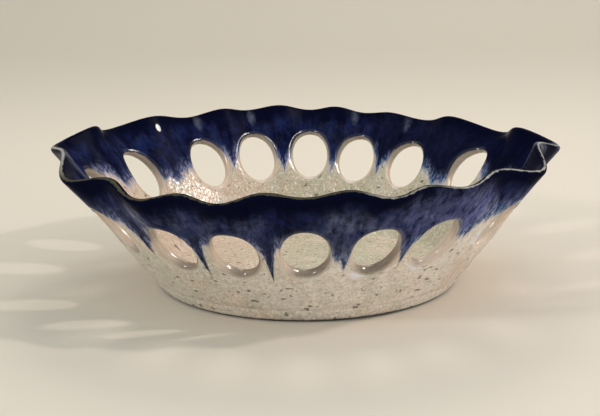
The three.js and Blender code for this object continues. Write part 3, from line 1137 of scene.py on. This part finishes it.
# painted highlight: the line turns pale on the right and at the two ends
highlit_side = plus(tree, place["X"], swing(tree, grain(tree, flow_at, *LIP_HIGHLIGHT_GRAIN), LIP_HIGHLIGHT_SWING))
highlit_ends = step(tree, size_of(tree, place["X"]), *LIP_HIGHLIGHT_ENDS)
line = blended(tree, sums(tree, "MAXIMUM", step(tree, highlit_side, *LIP_HIGHLIGHT_RIGHT), highlit_ends), OLIVE, PAINTED_LIP_HIGHLIGHT)
tree.links.new(blended(tree, wear_and_highlight, colour, line), shader.inputs["Base Color"])
print("lip line with", len(tree.nodes), "nodes so far")

# %% [markdown]
# ## Gloss and relief of the wall
#
# The cream is glassy and sparkles where its pocks turn to the light, the wiped edges shine, and
# one glassy pool inside, left of the back, throws a white spot. The thick cobalt dried to a deep
# sheen that hardly mirrors the room. One roughness for all would give streaks on the cobalt. So
# the ground of the shader stays dull, and a clear coat lies only where the glaze is glassy.

# %% Wall gloss
ON_EDGE = (3, 1.6)
SPARKLE_SHOWS, SPARKLE_LEAST = (0.46, 0.64), 0.1
POOL_SHAPE = Vector((1.8, 1.8, 1))  # taller than wide
POOL_PLACE, POOL_REACH = flow_place(227.5, -9), (3, 1.8)
COAT = 0.8
COBALT_RAISED, POCKED = 0.5, 0.9

shader.inputs["Roughness"].default_value = 0.24
shader.inputs["Specular IOR Level"].default_value = 0.003
shader.inputs["Coat Roughness"].default_value = 0.17
bare_of_cobalt = rest_of_one(tree, mask)
sparkle = times(tree, step(tree, cream["Height"], *SPARKLE_SHOWS), 1 - SPARKLE_LEAST)
glossy = times(tree, bare_of_cobalt, plus(tree, sparkle, SPARKLE_LEAST))
glossy = sums(tree, "MAXIMUM", glossy, step(tree, edge_at, *ON_EDGE))
from_pool = away_from(tree, moved(tree, "MULTIPLY", flow_at, POOL_SHAPE)[0], POOL_PLACE * POOL_SHAPE)
glossy = sums(tree, "MAXIMUM", glossy, step(tree, from_pool, *POOL_REACH))
tree.links.new(times(tree, glossy, COAT), shader.inputs["Coat Weight"])
raised = plus(tree, times(tree, mask, COBALT_RAISED), times(tree, cream["Height"], bare_of_cobalt, POCKED))
bump = put(tree, "Bump", {"Height": raised, "Strength": 0.8, "Distance": 0.0005})
tree.links.new(bump.outputs["Normal"], shader.inputs["Normal"])
bowl_wall.data.materials.append(glazed)
print("wall material", len(tree.nodes), "nodes")

# %% [markdown]
# ## The glazed slab
#
# The slab has only the cream, inside and out, and at the foot a narrow ring was wiped clean before
# firing, so that the bowl would not stick to the kiln shelf. That ring is painted nearly black,
# part bare clay and part painted contact shadow under the foot. The ring could be a second
# material on the lowest quads, but a wiped edge wanders. The flow distance with a little noise
# finds it in the same material.

# %% Slab material
FOOT_CLAY_AND_SHADE = srgb(44, 34, 27)
FOOT_BARE = 2  # mm of the softened foot that was wiped clean, and painted dark with contact shadow
WIPE_GRAIN, WIPE = (0.2, 3), 0.8
foot_down = slope_length + LIP_ARC
wiped_from = foot_down - FOOT_BARE
wiped_full = foot_down - FOOT_BARE / 3

glazed_cream = bpy.data.materials.new("glazed_slab")
glazed_cream.use_nodes = True
tree = glazed_cream.node_tree
shader = tree.nodes["Principled BSDF"]
shader.inputs["Roughness"].default_value = 0.16
shader.inputs["Specular IOR Level"].default_value = 0.3
flow_at = put(tree, "Attribute", {}, attribute_name="flow").outputs["Vector"]
cream = use(tree, cream_recipe, {"Flow": flow_at})
down = put(tree, "SeparateXYZ", {0: flow_at}).outputs["Z"]
wandering = plus(tree, down, swing(tree, grain(tree, flow_at, *WIPE_GRAIN), WIPE))
# painted shade: the wiped ring is darkened as contact shadow under the foot
wiped = step(tree, wandering, wiped_from, wiped_full)
tree.links.new(blended(tree, wiped, cream["Color"], FOOT_CLAY_AND_SHADE), shader.inputs["Base Color"])
bump = put(tree, "Bump", {"Height": cream["Height"], "Strength": 0.5, "Distance": 0.0001})
tree.links.new(bump.outputs["Normal"], shader.inputs["Normal"])
bowl_floor.data.materials.append(glazed_cream)
print("slab material", len(tree.nodes), "nodes")

# %% [markdown]
# ## The table
#
# The bowl stands on a pale card that sweeps up behind it, so that no horizon shows. A plane and
# a far wall would leave a line between them. A few strips, shaded smooth, make the sweep.

# %% Table
TABLE = srgb(221, 210, 196)
SWEEP = [(-6.0, 0.0), (1.2, 0.0), (1.6, 0.06), (1.9, 0.25), (2.05, 0.6), (2.1, 2.5)]  # metres back and up
HALF_WIDTH = 8
floor_mesh = bpy.data.meshes.new("table")
corners = [(x, y, z) for y, z in SWEEP for x in (-HALF_WIDTH, HALF_WIDTH)]
strips = [(2 * k, 2 * k + 1, 2 * k + 3, 2 * k + 2) for k in range(len(SWEEP) - 1)]
floor_mesh.from_pydata(corners, [], strips)
floor_mesh.polygons.foreach_set("use_smooth", np.ones(len(strips), bool))
table = bpy.data.objects.new("table", floor_mesh)
bpy.context.collection.objects.link(table)
card = bpy.data.materials.new("pale_card")
card.use_nodes = True
card_shader = card.node_tree.nodes["Principled BSDF"]
card_shader.inputs["Base Color"].default_value = TABLE
card_shader.inputs["Roughness"].default_value = 0.7
floor_mesh.materials.append(card)
print("sweep of", len(strips), "strips")

# %% [markdown]
# ## The lights
#
# Two small lamps, high on the right and front left, throw soft pale ovals through the openings
# onto the table. Wide lamps low on both sides and behind fill the shadows, and a weak one stands
# overhead. One sky picture could light all this, but lamps can be set one by one. Three more
# shine only into the gloss: they give the white spot in the glassy pool, the bright patch on the
# cream inside and the glints on the edges of the openings, and leave the shadows alone.

# %% Lamps
ROSY = (1, 0.91, 0.87)
WARM = (1, 0.95, 0.86)
WHITE = (1, 1, 1)
COOL = (0.93, 0.97, 1)
LOOK_AT = Vector((0, 0, 0.04))
LAMPS = (  # name, degrees round from the front and up, metres away, size, power, colour
    ("right_lamp", 73, 44, 1.6, 0.1, 6.6, ROSY),
    ("left_lamp", -56, 32, 1.7, 0.2, 5.2, WHITE),
    ("right_fill", 62, 14, 2.0, 1.0, 3.4, COOL),
    ("left_fill", -85, 24, 2.0, 1.2, 2, WHITE),
    ("back_light", 162, 45, 2.4, 1.4, 8, WARM),
    ("back_pool", 180, 56, 0.75, 0.3, 0.8, WARM),
    ("overhead", 55, 68, 1.8, 0.8, 0.4, WHITE),
)
GLINTS = (  # the same, for the lamps that shine only into the gloss
    ("spot", 91, 40, 1.6, 0.08, 7, WARM),
    ("sheen", 100, 45, 1.6, 0.6, 20, WARM),
    ("edge_glint", -54, 20, 1.6, 0.3, 9, WARM),
)


def lamp(name, round_from_front, height_angle, distance, size, power, colour):
    turn, up = math.radians(round_from_front), math.radians(height_angle)
    place = distance * Vector((math.cos(up) * math.sin(turn), -math.cos(up) * math.cos(turn), math.sin(up)))
    data = bpy.data.lights.new(name, "AREA")
    data.shape = "DISK"
    data.size = size
    data.energy = power
    data.color = colour
    made = bpy.data.objects.new(name, data)
    made.location = place
    made.rotation_euler = (LOOK_AT - place).to_track_quat("-Z", "Y").to_euler()
    bpy.context.collection.objects.link(made)
    return made


for settings in LAMPS:
    lamp(*settings)
for settings in GLINTS:
    lamp(*settings).visible_diffuse = False

# %% Air of the room
AIR = (0.92, 1, 0.98, 1)
AIR_STRENGTH = 0.6

world = bpy.data.worlds.new("room")
world.use_nodes = True
air = world.node_tree.nodes["Background"]
air.inputs["Color"].default_value = AIR
air.inputs["Strength"].default_value = AIR_STRENGTH
bpy.context.scene.world = world
bpy.context.scene.view_settings.view_transform = "Standard"
print("air at", AIR_STRENGTH, "seen through", bpy.context.scene.view_settings.view_transform)
